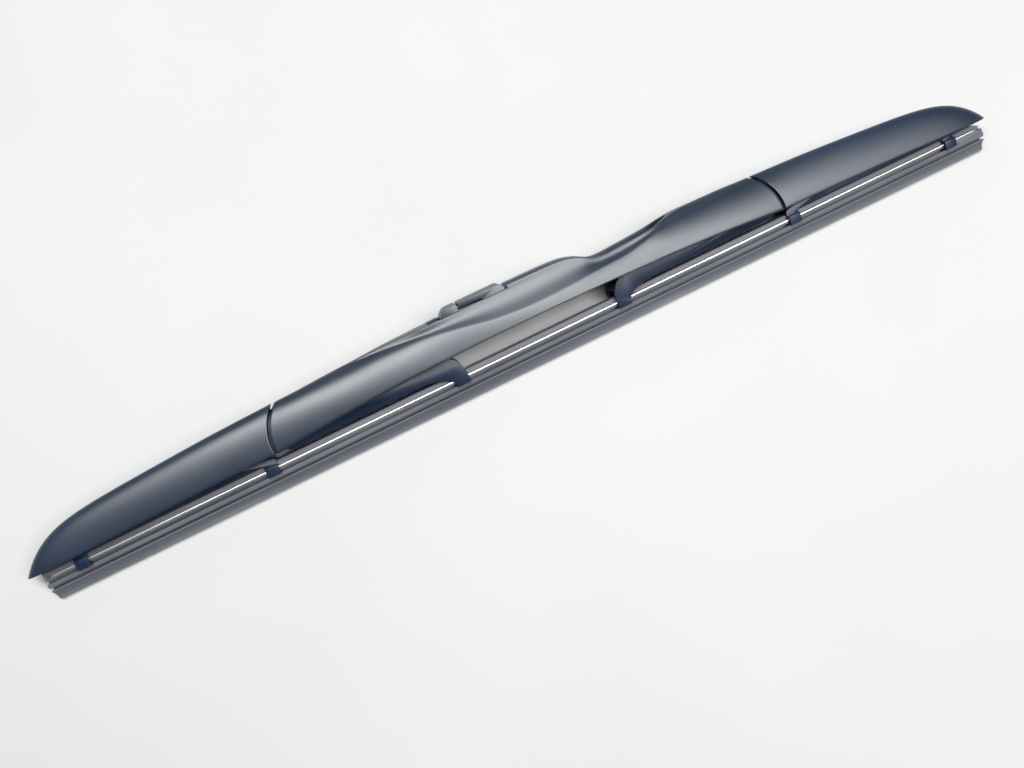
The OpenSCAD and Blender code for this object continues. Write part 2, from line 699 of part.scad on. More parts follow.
// The top edge of the primary lever, as X and Z, from left to right
primary_top_line = [
    [-lever_pivot_x - ear_r + 2, primary_end_top_z], [-step_x - step_run, primary_end_top_z + 0.4],
    [-step_x + 9, primary_top_z], [web_cut_right_x, primary_top_z],
    [web_cut_right_x + 12, primary_trough_z], [step_x + step_run, primary_trough_z],
    [step_x + 2 * step_run, primary_end_top_z], [lever_pivot_x + ear_r - 2, primary_end_top_z]
];
function primary_top_at(x) = lookup(x, primary_top_line);

module primary_outline() {
    left = primary_top_line[0];
    right = primary_top_line[len(primary_top_line) - 1];
    ear_x = lever_pivot_x + ear_r;
    polygon(concat(primary_top_line, [
        right + [2, -2], [ear_x, lever_pivot_z], [lever_pivot_x - ear_r, lever_pivot_z],
        [lever_pivot_x - 9, primary_outer_low_z], [step_x - 2, primary_outer_low_z],
        [step_x - 7, primary_low_z], [-step_x + 7, primary_low_z], [-step_x + 2, primary_outer_low_z],
        [-lever_pivot_x + 9, primary_outer_low_z], [-lever_pivot_x + ear_r, lever_pivot_z],
        [-ear_x, lever_pivot_z], left + [-2, -2]
    ]));
    for (s = [-1, 1])
        translate([s * lever_pivot_x, lever_pivot_z])
            circle(r = ear_r, $fn = 48);
}

module primary_plan() {
    far = lever_pivot_x + ear_r + 1;
    for (s = [-1, 1])
        polygon([
            [-far, s * ear_inner], [-step_x - step_run, s * ear_inner], [-step_x, s * primary_inner_half],
            [step_x, s * primary_inner_half], [step_x + step_run, s * ear_inner], [far, s * ear_inner],
            [far, s * ear_outer], [step_x + step_run, s * ear_outer], [step_x, s * primary_outer_half],
            [-step_x, s * primary_outer_half], [-step_x - step_run, s * ear_outer], [-far, s * ear_outer]
        ]);
}

// Everything between the outsides of the flanges
module primary_cover_plan() {
    far = lever_pivot_x + ear_r - 3;
    polygon([
        [-far, -ear_outer], [-step_x - step_run, -ear_outer], [-step_x, -primary_outer_half],
        [step_x, -primary_outer_half], [step_x + step_run, -ear_outer], [far, -ear_outer],
        [far, ear_outer], [step_x + step_run, ear_outer], [step_x, primary_outer_half],
        [-step_x, primary_outer_half], [-step_x - step_run, ear_outer], [-far, ear_outer]
    ]);
}

module primary_web_outline() {
    polygon(concat(primary_top_line, reversed([for (p = primary_top_line) p - [0, primary_sheet]])));
}

module primary_lever() {
    color(navy_metal) lay_down()
        difference() {
            union() {
                intersection() {
                    slab(-primary_outer_half - 1, primary_outer_half + 1) primary_outline();
                    tall(0, rim_z) primary_plan();
                }
                intersection() {
                    slab(-primary_outer_half - 1, primary_outer_half + 1) primary_web_outline();
                    tall(0, rim_z) primary_cover_plan();
                }
            }
            // The web is open under the bay, for the adapter and the arm's hook
            translate([bay_left_x, -primary_inner_half, primary_top_z - 3])
                cube([web_cut_right_x - bay_left_x, 2 * primary_inner_half, 5]);
            cross_bar(rivet_x, rivet_z, rivet_r, primary_outer_half + 1);
            for (s = [-1, 1])
                cross_bar(s * lever_pivot_x, lever_pivot_z, lever_pin_r + pin_gap + bush_wall, primary_outer_half + 1);
        }
}

// Adapter and its rivet

nose_r = adapter_bar_t / 2;
bar_low_z = adapter_top_z - adapter_bar_t;
pad_left_x = adapter_left_x + 8;
pad_low_z = adapter_top_z - 1.9;

module adapter_outline() {
    nose_c = [adapter_left_x + nose_r, adapter_top_z - nose_r];
    translate(nose_c)
        circle(r = nose_r, $fn = 48);
    polygon([
        [nose_c[0], bar_low_z], [rivet_x - hub_r, bar_low_z], [rivet_x - hub_r, rivet_z],
        [rivet_x + hub_r, rivet_z], [rivet_x + hub_r, bar_low_z], [adapter_right_x - 1.6, bar_low_z],
        [adapter_right_x, bar_low_z + 2], [adapter_right_x, adapter_top_z - 1.7],
        [adapter_right_x - 2, adapter_top_z], [nose_c[0], adapter_top_z]
    ]);
    translate([rivet_x, rivet_z])
        circle(r = hub_r, $fn = 48);
}

module adapter() {
    color(dark_plastic) lay_down()
        difference() {
            slab(-adapter_half, adapter_half)
                difference() {
                    adapter_outline();
                    // The slit that frees the latch pad
                    polygon([
                        [pad_left_x, adapter_top_z + 1], [pad_left_x, pad_low_z],
                        [pad_left_x + 9.5, pad_low_z - 0.3], [pad_left_x + 9.5, pad_low_z - 0.3 - slit_w],
                        [pad_left_x - slit_w, pad_low_z - slit_w], [pad_left_x - slit_w, adapter_top_z + 1]
                    ]);
                }
            // Hollow of the bar, open below
            translate([adapter_left_x + 4.5, -adapter_half + 1.3, bar_low_z - 1])
                cube([rivet_x - hub_r - adapter_left_x - 6.5, 2 * adapter_half - 2.6, 4.6]);
            // Snap-in bore and its throat
            cross_bar(rivet_x, rivet_z, rivet_r + pin_gap, adapter_half + 1);
            translate([rivet_x - throat_w / 2, -adapter_half - 1, rivet_z - hub_r - 1])
                cube([throat_w, 2 * adapter_half + 2, hub_r + 1]);
        }
}

module adapter_rivet() { pin(1, rivet_x, rivet_z, rivet_r, primary_outer_half); }

// Covers

centre_stations = 44;
end_stations = 18;
cavity_end_x = tip_x - 4.5;

// Outline of the rib along a cover's roof that sits on a lever's top, from x0 to x1
function roof_line(x0, x1, n) =
    [for (i = [0 : n]) let (x = lerp(x0, x1, i / n)) [x, cover_section(x)[7] - 0.7]];

// The trough closes inside the crests, which run together at its right end
trough_round = 8.5;
function trough_half(x) =
    min(bay_half, cover_section(x)[5] - trough_wall)
        * (x < trough_right_x - trough_round ? 1
            : sqrt(1.02 - pow((x - trough_right_x + trough_round) / trough_round, 2)));

module trough_plan() {
    xs = concat([bay_left_x, valley_x], [for (i = [1 : 14]) lerp(valley_x + 12, trough_right_x, i / 14)]);
    side = [for (x = xs) [x, x <= valley_x ? bay_half : trough_half(x)]];
    polygon(concat(side, reversed([for (p = side) [p[0], -p[1]]])));
}

notch_gap = 0.6;

module centre_cover() {
    rib_half = 0.7;
    lug_len = 6;
    lug_t = 1.1;
    color(navy) lay_down() {
        difference() {
            skin([for (i = [0 : centre_stations])
                wall_ring(lerp(-seam_x, seam_x, i / centre_stations), centre_wall, seam_r, true)]);
            // Bay and trough, open along the top
            tall(rim_line_z - 10, rim_z + 2)
                trough_plan();
            // The rim is cut lower beside the adapter
            translate([adapter_left_x - 1, -rim_half - 2, rim_notch_z])
                cube([adapter_right_x - adapter_left_x + 1 + notch_gap, 2 * rim_half + 4, rim_z + 2 - rim_notch_z]);
        }
        // Ribs that seat on the primary lever's top
        slab(-rib_half, rib_half) {
            polygon(concat(
                [[-lever_pivot_x + 4, primary_top_at(-lever_pivot_x + 4)],
                    [-step_x - step_run, primary_top_at(-step_x - step_run)], [-step_x, primary_top_at(-step_x)]],
                roof_line(-step_x, -lever_pivot_x + 4, 10)
            ));
            polygon(concat(
                [[lever_pivot_x - 4, primary_top_at(lever_pivot_x - 4)],
                    [step_x + 2 * step_run, primary_top_at(step_x + 2 * step_run)]],
                roof_line(step_x + 2 * step_run, lever_pivot_x - 4, 6)
            ));
        }
        // Lugs that snap under the primary lever's flanges
        for (x = [-30, 22], s = [-1, 1])
            translate([x - lug_len / 2, s < 0 ? -edge_mid_half + 0.9 : primary_inner_half + 0.2, primary_low_z - lug_t])
                cube([lug_len, edge_mid_half - 1.1 - primary_inner_half, lug_t]);
    }
}

lug_run = 14;

module end_cover(side) {
    rib_half = 0.7;
    lug_len = 5;
    lug_t = 1;
    lug_x = lever_pivot_x + lug_run;
    stations = concat(
        [for (i = [0 : end_stations - 6]) lerp(seam_x, cavity_end_x - 0.2, pow(i / (end_stations - 6), 0.9))],
        [for (i = [0 : 6]) lerp(cavity_end_x + 0.2, tip_x - 0.2, pow(i / 6, 0.7))]
    );
    color(navy) lay_down() on_side(side) {
        skin([for (x = stations) wall_ring(x, end_wall, seam_r + seam_gap, x < cavity_end_x)]);
        // Rib that seats on the lever's outer top
        slab(-rib_half, rib_half)
            polygon(concat(
                [for (x = [lever_pivot_x + 8, shoulder_x, lever_web_end_x - 1]) [x, lever_web_top(x)]],
                reversed(roof_line(lever_pivot_x + 8, lever_web_end_x - 1, 8))
            ));
        // Lugs that snap under the lever's flanges
        for (s = [-1, 1])
            translate([lug_x - lug_len / 2, s < 0 ? -edge_seam_half + 0.8 : jaw_inner + 0.2, lever_outer_low_z - lug_t])
                cube([lug_len, edge_seam_half - 1 - jaw_inner, lug_t]);
    }
}
module left_end_cover() { end_cover(-1); }
module right_end_cover() { end_cover(1); }

centre_cover();
primary_lever();
adapter();
adapter_rivet();
left_pivot_bush();
right_pivot_bush();
left_pivot_pin();
right_pivot_pin();
left_lever();
right_lever();
left_end_cover();
right_end_cover();
left_yoke_bush();
right_yoke_bush();
left_yoke_pin();
right_yoke_pin();
left_yoke();
right_yoke();
rubber_blade();
front_rail();
back_rail();
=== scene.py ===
import math

import bmesh
import bpy
import numpy as np
from mathutils import Matrix, Vector


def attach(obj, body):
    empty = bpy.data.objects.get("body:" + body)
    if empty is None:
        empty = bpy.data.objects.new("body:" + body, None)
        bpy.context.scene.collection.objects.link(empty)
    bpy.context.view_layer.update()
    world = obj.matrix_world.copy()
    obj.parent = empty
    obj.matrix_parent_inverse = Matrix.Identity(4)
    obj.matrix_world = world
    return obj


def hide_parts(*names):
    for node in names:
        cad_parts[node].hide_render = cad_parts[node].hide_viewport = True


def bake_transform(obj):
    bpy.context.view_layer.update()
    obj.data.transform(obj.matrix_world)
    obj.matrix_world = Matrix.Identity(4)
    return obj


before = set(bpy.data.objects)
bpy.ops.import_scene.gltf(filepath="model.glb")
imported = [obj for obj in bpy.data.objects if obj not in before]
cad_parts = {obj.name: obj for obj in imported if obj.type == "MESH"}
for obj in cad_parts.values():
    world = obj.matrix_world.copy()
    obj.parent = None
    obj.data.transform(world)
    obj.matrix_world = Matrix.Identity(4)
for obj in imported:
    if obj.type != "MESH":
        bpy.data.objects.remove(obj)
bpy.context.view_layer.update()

# Sizes in millimetres in the blade frame: X along the blade, Z up from the rails, Y across
RUBBER_LENGTH, RUBBER_SHIFT = 403.2, 0.7
LIP_DROP, LIP_HALF = 9.5, 0.4
EDGE_MID_HALF, EDGE_SEAM_HALF = 10.4, 7.5
EDGE_MID_Z, EDGE_SEAM_Z, EDGE_TIP_FALL = 10.6, 5.35, 2.8
SPINE_SEAM_Z, SPINE_HALF = 22.05, 1.0
SEAM_X, SEAM_R, SEAM_CENTRE_Z, SEAM_GAP, SEAM_BLEND = 107.6, 20.2, 7.0, 0.8, 22.0
END_FALL, END_NARROWING = 0.235, 0.13
COVER_OVERHANG = 4.8
CENTRE_WALL, END_WALL = 1.4, 1.15
RIM_Z, RIM_HALF, RIM_LINE_Z, BAY_HALF = 25.2, 5.9, 23.0, 4.6
BAY_LEFT_X, TROUGH_RIGHT_X, TROUGH_WALL, TROUGH_ROUND = -38.0, 64.0, 1.0, 8.5
VALLEY_Z, RIM_END_X, VALLEY_X = 20.1, 18.0, 31.0
RIM_NOTCH_Z, NOTCH_LEFT_X, NOTCH_RIGHT_X = 23.9, -33.7, -5.1
JAW_OUTER, HOOK_LOW = 4.62, -2.17
ADAPTER_TOP_Z, ADAPTER_HALF = 26.7, 4.2
RAIL_T, RAIL_OUTER, RAIL_INNER, RAIL_SETBACK = 1.0, 3.6, 1.2, 2.5
PIVOT_X, YOKE_X = 102.5, 149.25
HOOK_T, CLAW_GAP = 0.9, 0.12
HEAD_HALF, HEAD_RISE, LEDGE_T, FLANGE_T, NECK_H, WEDGE_HALF = 2.3, 1.7, 0.6, 1.5, 1.2, 2.7
STOPPER_LEN, HEAD_CUT_LEN, NOTCH_IN = 13, 4, 9
RIB_HALF, LUG_LOW_Z, LUG_HIGH_Z, END_LUG_LOW_Z, END_LUG_HIGH_Z = 0.7, 10.9, 12.0, 7.9, 8.9
TIP_X = RUBBER_LENGTH / 2 + COVER_OVERHANG

LAY = math.atan((EDGE_MID_HALF - JAW_OUTER) / (EDGE_MID_Z - HOOK_LOW))
COS, SIN = math.cos(LAY), math.sin(LAY)
FLOOR_DROP = EDGE_MID_HALF * COS - EDGE_MID_Z * SIN
BACK_Y = ADAPTER_TOP_Z * COS + ADAPTER_HALF * SIN
FRONT_Y = -LIP_DROP * COS - LIP_HALF * SIN
SHIFT_Y = -(BACK_Y + FRONT_Y) / 2


def lay(p):
    """Blade frame in millimetres to the row frame in metres."""
    x, y, z = p
    return Vector((x, y * SIN + z * COS + SHIFT_Y, -y * COS + z * SIN + FLOOR_DROP)) / 1000


# The cover's form, from the same control sections as the solids. Each row holds the place along X, then
# the half width and height of the ridge, the rim line and the crest, then the top's height and how round
# the flank is
RIM_MID_Z = RIM_Z + (VALLEY_Z - RIM_Z) * 0.42
SPINE_KEYS = np.array([
    [-SEAM_X, SPINE_HALF, SPINE_SEAM_Z - 0.15, SPINE_HALF * 0.7, SPINE_SEAM_Z - 0.07,
     SPINE_HALF * 0.4, SPINE_SEAM_Z - 0.02, SPINE_SEAM_Z, 1],
    [-92, SPINE_HALF, SPINE_SEAM_Z + 0.2, SPINE_HALF * 0.7, SPINE_SEAM_Z + 0.28,
     SPINE_HALF * 0.4, SPINE_SEAM_Z + 0.33, SPINE_SEAM_Z + 0.35, 1],
    [-78, SPINE_HALF, SPINE_SEAM_Z + 0.8, SPINE_HALF * 0.75, SPINE_SEAM_Z + 0.9,
     SPINE_HALF * 0.5, SPINE_SEAM_Z + 1, SPINE_SEAM_Z + 1.05, 1],
    [-69, 2.1, RIM_LINE_Z - 0.4, 1.6, RIM_LINE_Z - 0.05, 1.3, RIM_LINE_Z + 0.3, RIM_LINE_Z + 0.45, 0.95],
    [-58, 3.9, RIM_LINE_Z - 0.8, 3.2, RIM_LINE_Z - 0.2, 2.8, RIM_Z - 1.4, RIM_Z - 1.25, 0.85],
    [-47, 5.6, RIM_LINE_Z - 1.7, 4.6, RIM_LINE_Z - 0.4, 4.2, RIM_Z - 1.25, RIM_Z - 1.1, 0.7],
    [-38, 7, RIM_LINE_Z - 2.8, RIM_HALF - 0.3, RIM_LINE_Z - 0.2, RIM_HALF - 0.5, RIM_Z - 1.2,
     RIM_Z - 1.05, 0.55],
    [-28, 8.2, RIM_LINE_Z - 4.3, RIM_HALF, RIM_LINE_Z, RIM_HALF - 0.3, RIM_Z - 0.8, RIM_Z - 0.6, 0.45],
    [-14, 9.2, RIM_LINE_Z - 6.8, RIM_HALF, RIM_LINE_Z, RIM_HALF - 0.3, RIM_Z - 0.1, RIM_Z + 0.1, 0.35],
    [0, 9.5, RIM_LINE_Z - 7.8, RIM_HALF, RIM_LINE_Z, RIM_HALF - 0.3, RIM_Z, RIM_Z + 0.2, 0.35],
    [RIM_END_X, 9.1, RIM_LINE_Z - 7.4, RIM_HALF, RIM_LINE_Z - 0.3, RIM_HALF - 0.3, RIM_Z - 0.5,
     RIM_Z - 0.3, 0.35],
    [(RIM_END_X + VALLEY_X) / 2, 8.7, RIM_LINE_Z - 6.9, RIM_HALF, RIM_MID_Z - 1.4,
     RIM_HALF - 0.3, RIM_MID_Z, RIM_MID_Z + 0.15, 0.4],
    [VALLEY_X, 8.3, RIM_LINE_Z - 6.5, RIM_HALF, VALLEY_Z - 0.9, RIM_HALF - 0.35, VALLEY_Z,
     VALLEY_Z + 0.1, 0.45],
    [42, 7.9, RIM_LINE_Z - 6, RIM_HALF, VALLEY_Z - 0.8, RIM_HALF - 0.4, VALLEY_Z + 0.05,
     VALLEY_Z + 0.15, 0.5],
    [55, 6.9, RIM_LINE_Z - 3.7, RIM_HALF - 0.1, VALLEY_Z + 0.2, RIM_HALF - 0.4, VALLEY_Z + 0.9,
     VALLEY_Z + 1, 0.65],
    [66, 4.1, RIM_LINE_Z - 1.5, 3.4, RIM_LINE_Z - 0.65, 2.8, RIM_LINE_Z - 0.25, RIM_LINE_Z - 0.1, 0.85],
    [76, 1.6, RIM_LINE_Z - 0.4, 1.3, RIM_LINE_Z - 0.25, 1, RIM_LINE_Z - 0.15, RIM_LINE_Z - 0.05, 1],
    [92, SPINE_HALF, SPINE_SEAM_Z + 0.4, SPINE_HALF * 0.7, SPINE_SEAM_Z + 0.48,
     SPINE_HALF * 0.4, SPINE_SEAM_Z + 0.53, SPINE_SEAM_Z + 0.55, 1],
    [SEAM_X, SPINE_HALF, SPINE_SEAM_Z - 0.15, SPINE_HALF * 0.7, SPINE_SEAM_Z - 0.07,
     SPINE_HALF * 0.4, SPINE_SEAM_Z - 0.02, SPINE_SEAM_Z, 1],
])


def spline(keys, x):
    last = len(keys) - 1

    def slope(i):
        a, b = max(i - 1, 0), min(i + 1, last)
        return (keys[b] - keys[a]) / (keys[b][0] - keys[a][0])

    i = 0
    while i < last - 1 and x >= keys[i + 1][0]:
        i += 1
    gap = keys[i + 1][0] - keys[i][0]
    t = min(max((x - keys[i][0]) / gap, 0), 1)
    return (keys[i] * (2 * t ** 3 - 3 * t * t + 1) + slope(i) * gap * (t ** 3 - 2 * t * t + t)
            + keys[i + 1] * (3 * t * t - 2 * t ** 3) + slope(i + 1) * gap * (t ** 3 - t * t))


def end_share(x):
    """0 at the seam, 1 at the cover's tip."""
    return (abs(x) - SEAM_X) / (TIP_X - SEAM_X)


def edge_z(x):
    if abs(x) <= SEAM_X:
        return EDGE_MID_Z - (EDGE_MID_Z - EDGE_SEAM_Z) * (abs(x) / SEAM_X) ** 2
    return EDGE_SEAM_Z - EDGE_TIP_FALL * end_share(x) ** 1.5


def edge_half(x):
    if abs(x) <= SEAM_X:
        return EDGE_MID_HALF - (EDGE_MID_HALF - EDGE_SEAM_HALF) * (abs(x) / SEAM_X) ** 1.6
    u = end_share(x)
    return EDGE_SEAM_HALF * (1 - END_NARROWING * u) * math.sqrt(max(1 - u ** 12, 0))


def cover_section(x):
    """The control row at x, from the keys or, beyond the seams, from the drawn-in nose."""
    if abs(x) <= SEAM_X:
        return spline(SPINE_KEYS, x)
    u = end_share(x)
    low = edge_z(x)
    top = low + (SPINE_SEAM_Z - EDGE_SEAM_Z) * (1 - END_FALL * u) * max(1 - u ** 10.5, 0) ** 1.1
    s = min(SPINE_HALF, edge_half(x) * 0.3)
    f = (top - low) / 16
    return np.array([x, s, top - 0.15 * f, s * 0.7, top - 0.07 * f, s * 0.4, top - 0.02 * f, top, 1])


def drawn_in(k, wall):
    """The control row of a surface one wall inside."""
    top = k[7] - wall
    return np.array([k[0], max(k[1] - wall, 0.6), min(k[2] - 0.3 * wall, top - 0.2),
                     max(k[3] - wall, 0.4), min(k[4] - 0.3 * wall, top - 0.1),
                     max(k[5] - wall, 0.2), min(k[6] - wall, top - 0.03), top, k[8]])


# Points on the flank, the band above it, the rim line and the crown, and how round and how scooped they are
FLANK, BAND, LINE, CROWN = 26, 8, 7, 5
ROUND, SCOOP, RIDGE_ROUNDS, SOFT_ROUNDS = 0.76, 0.5, 5, 2


def half_section(k, edge, stop=None):
    """Points from the lower edge up to the spine, or to the trough's wall at the half width stop."""
    ridge, line, crest = np.array(k[1:3]), np.array(k[3:5]), np.array(k[5:7])
    top = np.array([0, k[7]])
    if stop is not None:
        top = crest + (top - crest) * (1 - stop / crest[0])
    pts = []
    for i in range(FLANK + 1):
        t = i / FLANK
        a = math.pi / 2 * t
        straight = edge + (ridge - edge) * t
        arch = np.array([ridge[0] + (edge[0] - ridge[0]) * math.cos(a),
                         edge[1] + (ridge[1] - edge[1]) * math.sin(a)])
        pts.append(straight + (arch - straight) * k[8] * ROUND)
    # The band beside the bay is scooped
    scoop = SCOOP * min(max((0.85 - k[8]) / 0.4, 0), 1)
    across = np.array([ridge[1] - line[1], line[0] - ridge[0]])
    across = across / max(float(np.linalg.norm(across)), 1e-6)
    for a, b, n in ((ridge, line, BAND), (line, crest, LINE), (crest, top, CROWN)):
        bow = scoop if n == BAND else 0
        pts += [a + (b - a) * i / n + across * bow * 4 * i * (n - i) / n ** 2 for i in range(1, n + 1)]
    # The ridge is softened
    pts = np.array(pts)
    for _ in range(RIDGE_ROUNDS):
        soft = (pts[FLANK - 4:FLANK + 3] + 2 * pts[FLANK - 3:FLANK + 4] + pts[FLANK - 2:FLANK + 5]) / 4
        pts[FLANK - 3:FLANK + 4] = soft
    return pts


def resample(pts, n):
    d = np.concatenate([[0], np.cumsum(np.linalg.norm(np.diff(pts, axis=0), axis=1))])
    s = np.linspace(0, d[-1], n)
    return np.stack([np.interp(s, d, pts[:, 0]), np.interp(s, d, pts[:, 1])], 1)


def softened(pts, rounds, closed=False):
    for _ in range(rounds):
        new = pts * 0.5
        if closed:
            new += 0.25 * (np.roll(pts, 1, 0) + np.roll(pts, -1, 0))
        else:
            new[1:-1] += 0.25 * (pts[:-2] + pts[2:])
            new[0], new[-1] = pts[0], pts[-1]
        pts = new
    return pts


def cut_at(pts, top):
    """The same number of points, ending where the section first reaches the height top."""
    over = np.argmax(pts[:, 1] > top)
    if not pts[-1][1] > top:
        return pts
    a, b = pts[over - 1], pts[over]
    end = a + (b - a) * (top - a[1]) / (b[1] - a[1])
    n = len(pts) - over - 1
    last = np.array([pts[-1][0], top])
    return np.vstack([pts[:over], [end + (last - end) * i / n for i in range(n + 1)]])


def seam_lean(z, r):
    """How far the curved seam of radius r leans out at the height z."""
    return math.sqrt(r * r - (z - SEAM_CENTRE_Z) ** 2) - SEAM_R


def smooth(t):
    t = min(max(t, 0), 1)
    return t * t * (3 - 2 * t)


def leaned_x(x, z, r):
    w = 1 - smooth(abs(abs(x) - SEAM_X) / SEAM_BLEND)
    return x + (-1 if x < 0 else 1) * w * seam_lean(z, r)


def trough_half(x):
    """Half width of the bay, which narrows to a round end."""
    if x < VALLEY_X:
        return BAY_HALF
    half = min(BAY_HALF, cover_section(x)[5] - TROUGH_WALL)
    over = x - TROUGH_RIGHT_X + TROUGH_ROUND
    return half * (1 if over < 0 else math.sqrt(max(1.02 - (over / TROUGH_ROUND) ** 2, 0.0004)))


TONGUE_WALL, TONGUE_IN, TONGUE_SUNK = 0.4, CENTRE_WALL + 0.4, 0.25
RING, UNDER, WELL = FLANK + BAND + LINE + CROWN + 1, 5, 14


def cover_chain(x, wall, state, pull):
    """One half of a wall section: down the outside, under the edge and up the inside.

    An open one goes on up the trough's wall. A solid one has no cavity. A tongue lies inside the covers, and
    sinks into the end cover's wall away from the seam.
    """
    k = cover_section(x)
    edge = np.array([edge_half(x), edge_z(x)])
    if state == "tongue":
        sunk = smooth((abs(x) - SEAM_X - 0.6) / 1.2)
        depth = TONGUE_IN + (END_WALL - TONGUE_SUNK - TONGUE_IN) * sunk
        k, edge = drawn_in(k, depth), edge - np.array([depth, 0])
    stop = trough_half(x) if state == "open" else None
    out = half_section(k, edge, stop)
    if state == "solid":
        n = RING - 1
        inner = np.array([[edge[0] * 0.8 * (n - i) / n,
                           edge[1] + edge[0] * 0.12 * math.sin(math.pi / 2 * (i + 1) / (n + 1))]
                          for i in range(RING)])
    else:
        inner = half_section(drawn_in(k, wall), edge - np.array([wall, 0]))
        if stop is not None:
            keep = []
            for a, b in zip(inner[:-1], inner[1:]):
                keep.append(a)
                if b[0] <= stop:
                    keep.append(a + (b - a) * (a[0] - stop) / max(a[0] - b[0], 1e-9))
                    break
            inner = np.array(keep)
        inner = resample(inner, RING)
    if pull:
        out = out + (resample(inner, RING) - out) * pull
    if state == "open" and NOTCH_LEFT_X < x < NOTCH_RIGHT_X:
        out = cut_at(out, RIM_NOTCH_Z)
    under = np.array([out[0] + (inner[0] - out[0]) * i / (UNDER + 1) for i in range(1, UNDER + 1)])
    chain = np.concatenate([out[::-1], under, inner])
    well = np.array([inner[-1] + (out[-1] - inner[-1]) * i / (WELL + 1) for i in range(1, WELL + 1)])
    if state == "open":
        return softened(np.concatenate([chain, well]), SOFT_ROUNDS, closed=True)
    chain = softened(chain, SOFT_ROUNDS)
    if state == "solid":
        chain[-1][0] = chain[0][0] = 0
    return np.concatenate([chain, well])


def cover_mesh(name, stations, wall, r):
    """A shell through stations (x, state, pull). Closed and open ones at one x make the trough's end wall."""
    bm = bmesh.new()
    rows = []
    for x, state, pull in stations:
        pts = cover_chain(x, wall, state, pull)
        row = {}
        for side in (-1, 1):
            row[side] = [bm.verts.new(lay((leaned_x(x, z, r), side * y, z))) for y, z in pts]
        rows.append((state, row))
    solid = 2 * RING + UNDER
    total = solid + WELL
    for (s0, a), (s1, b) in zip(rows[:-1], rows[1:]):
        opened = "open" in (s0, s1)
        for side in (-1, 1):
            count = total if opened else solid - 1
            for j in range(count):
                quad = [a[side][j], a[side][(j + 1) % total], b[side][(j + 1) % total], b[side][j]]
                bm.faces.new(quad if side > 0 else quad[::-1])
    for row, flip in ((rows[0][1], False), (rows[-1][1], True)):
        for side in (-1, 1):
            v = row[side]
            for j in range(RING - 1):
                quad = [v[j], v[j + 1], v[solid - 2 - j], v[solid - 1 - j]]
                bm.faces.new(quad if (side > 0) == flip else quad[::-1])
            for j in range((UNDER + 1) // 2):
                a, b = RING - 1 + j, RING + j
                c, d = solid - 1 - b, solid - 1 - a
                if b < c:
                    quad = [v[a], v[b], v[c], v[d]]
                elif b == c:
                    quad = [v[a], v[b], v[d]]
                else:
                    continue
                bm.faces.new(quad if (side > 0) == flip else quad[::-1])
    loose = [v for v in bm.verts if not v.link_faces]
    bmesh.ops.delete(bm, geom=loose, context="VERTS")
    bmesh.ops.remove_doubles(bm, verts=bm.verts, dist=2e-6)
    bmesh.ops.dissolve_degenerate(bm, edges=bm.edges, dist=1e-6)
    bmesh.ops.recalc_face_normals(bm, faces=bm.faces)
    return finish_mesh(name, bm, 38)


def finish_mesh(name, bm, sharp):
    """An object of the mesh, smooth but for edges sharper than this many degrees."""
    mesh = bpy.data.meshes.new(name)
    bm.to_mesh(mesh)
    bm.free()
    mesh.shade_smooth()
    mesh.set_sharp_from_angle(angle=math.radians(sharp))
    obj = bpy.data.objects.new(name, mesh)
    bpy.context.scene.collection.objects.link(obj)
    return obj


def add_block(obj, y0, y1, line):
    """A plain rib or lug inside a cover, with a list of (x, low z, high z) along it."""
    bm = bmesh.new()
    bm.from_mesh(obj.data)
    rows = [[bm.verts.new(lay((x, y, z))) for y, z in ((y0, lo), (y1, lo), (y1, hi), (y0, hi))]
            for x, lo, hi in line]
    made = []
    for a, b in zip(rows[:-1], rows[1:]):
        for j in range(4):
            made.append(bm.faces.new([a[j], a[(j + 1) % 4], b[(j + 1) % 4], b[j]]))
    made += [bm.faces.new(rows[0][::-1]), bm.faces.new(rows[-1])]
    bmesh.ops.recalc_face_normals(bm, faces=made)
    for face in made:
        face.smooth = True
    bm.to_mesh(obj.data)
    bm.free()
    obj.data.set_sharp_from_angle(angle=math.radians(38))


# Materials

def node_material(name):
    m = bpy.data.materials.new(name)
    m.use_nodes = True
    nt = m.node_tree
    nt.nodes.clear()
    out = nt.nodes.new("ShaderNodeOutputMaterial")
    bsdf = nt.nodes.new("ShaderNodeBsdfPrincipled")
    nt.links.new(bsdf.outputs["BSDF"], out.inputs["Surface"])
    coord = nt.nodes.new("ShaderNodeTexCoord")
    return m, nt, bsdf, coord


def noise(nt, coord, scale, detail=2.0, stretch=(1, 1, 1)):
    mapping = nt.nodes.new("ShaderNodeMapping")
    mapping.inputs["Scale"].default_value = stretch
    nt.links.new(coord.outputs["Object"], mapping.inputs["Vector"])
    tex = nt.nodes.new("ShaderNodeTexNoise")
    tex.inputs["Scale"].default_value = scale
    tex.inputs["Detail"].default_value = detail
    tex.inputs["Roughness"].default_value = 0.5
    nt.links.new(mapping.outputs["Vector"], tex.inputs["Vector"])
    return tex.outputs["Fac"]


def ramp(nt, fac, stops):
    r = nt.nodes.new("ShaderNodeValToRGB")
    while len(r.color_ramp.elements) < len(stops):
        r.color_ramp.elements.new(0.5)
    for e, (p, c) in zip(r.color_ramp.elements, stops):
        e.position = p
        e.color = (*c, 1)
    nt.links.new(fac, r.inputs["Fac"])
    return r.outputs["Color"]


def bump(nt, bsdf, heights):
    last = None
    for fac, strength, distance in heights:
        b = nt.nodes.new("ShaderNodeBump")
        b.inputs["Strength"].default_value = strength
        b.inputs["Distance"].default_value = distance
        nt.links.new(fac, b.inputs["Height"])
        if last is not None:
            nt.links.new(last, b.inputs["Normal"])
        last = b.outputs["Normal"]
    nt.links.new(last, bsdf.inputs["Normal"])


def grey(v):
    return (v, v, v)


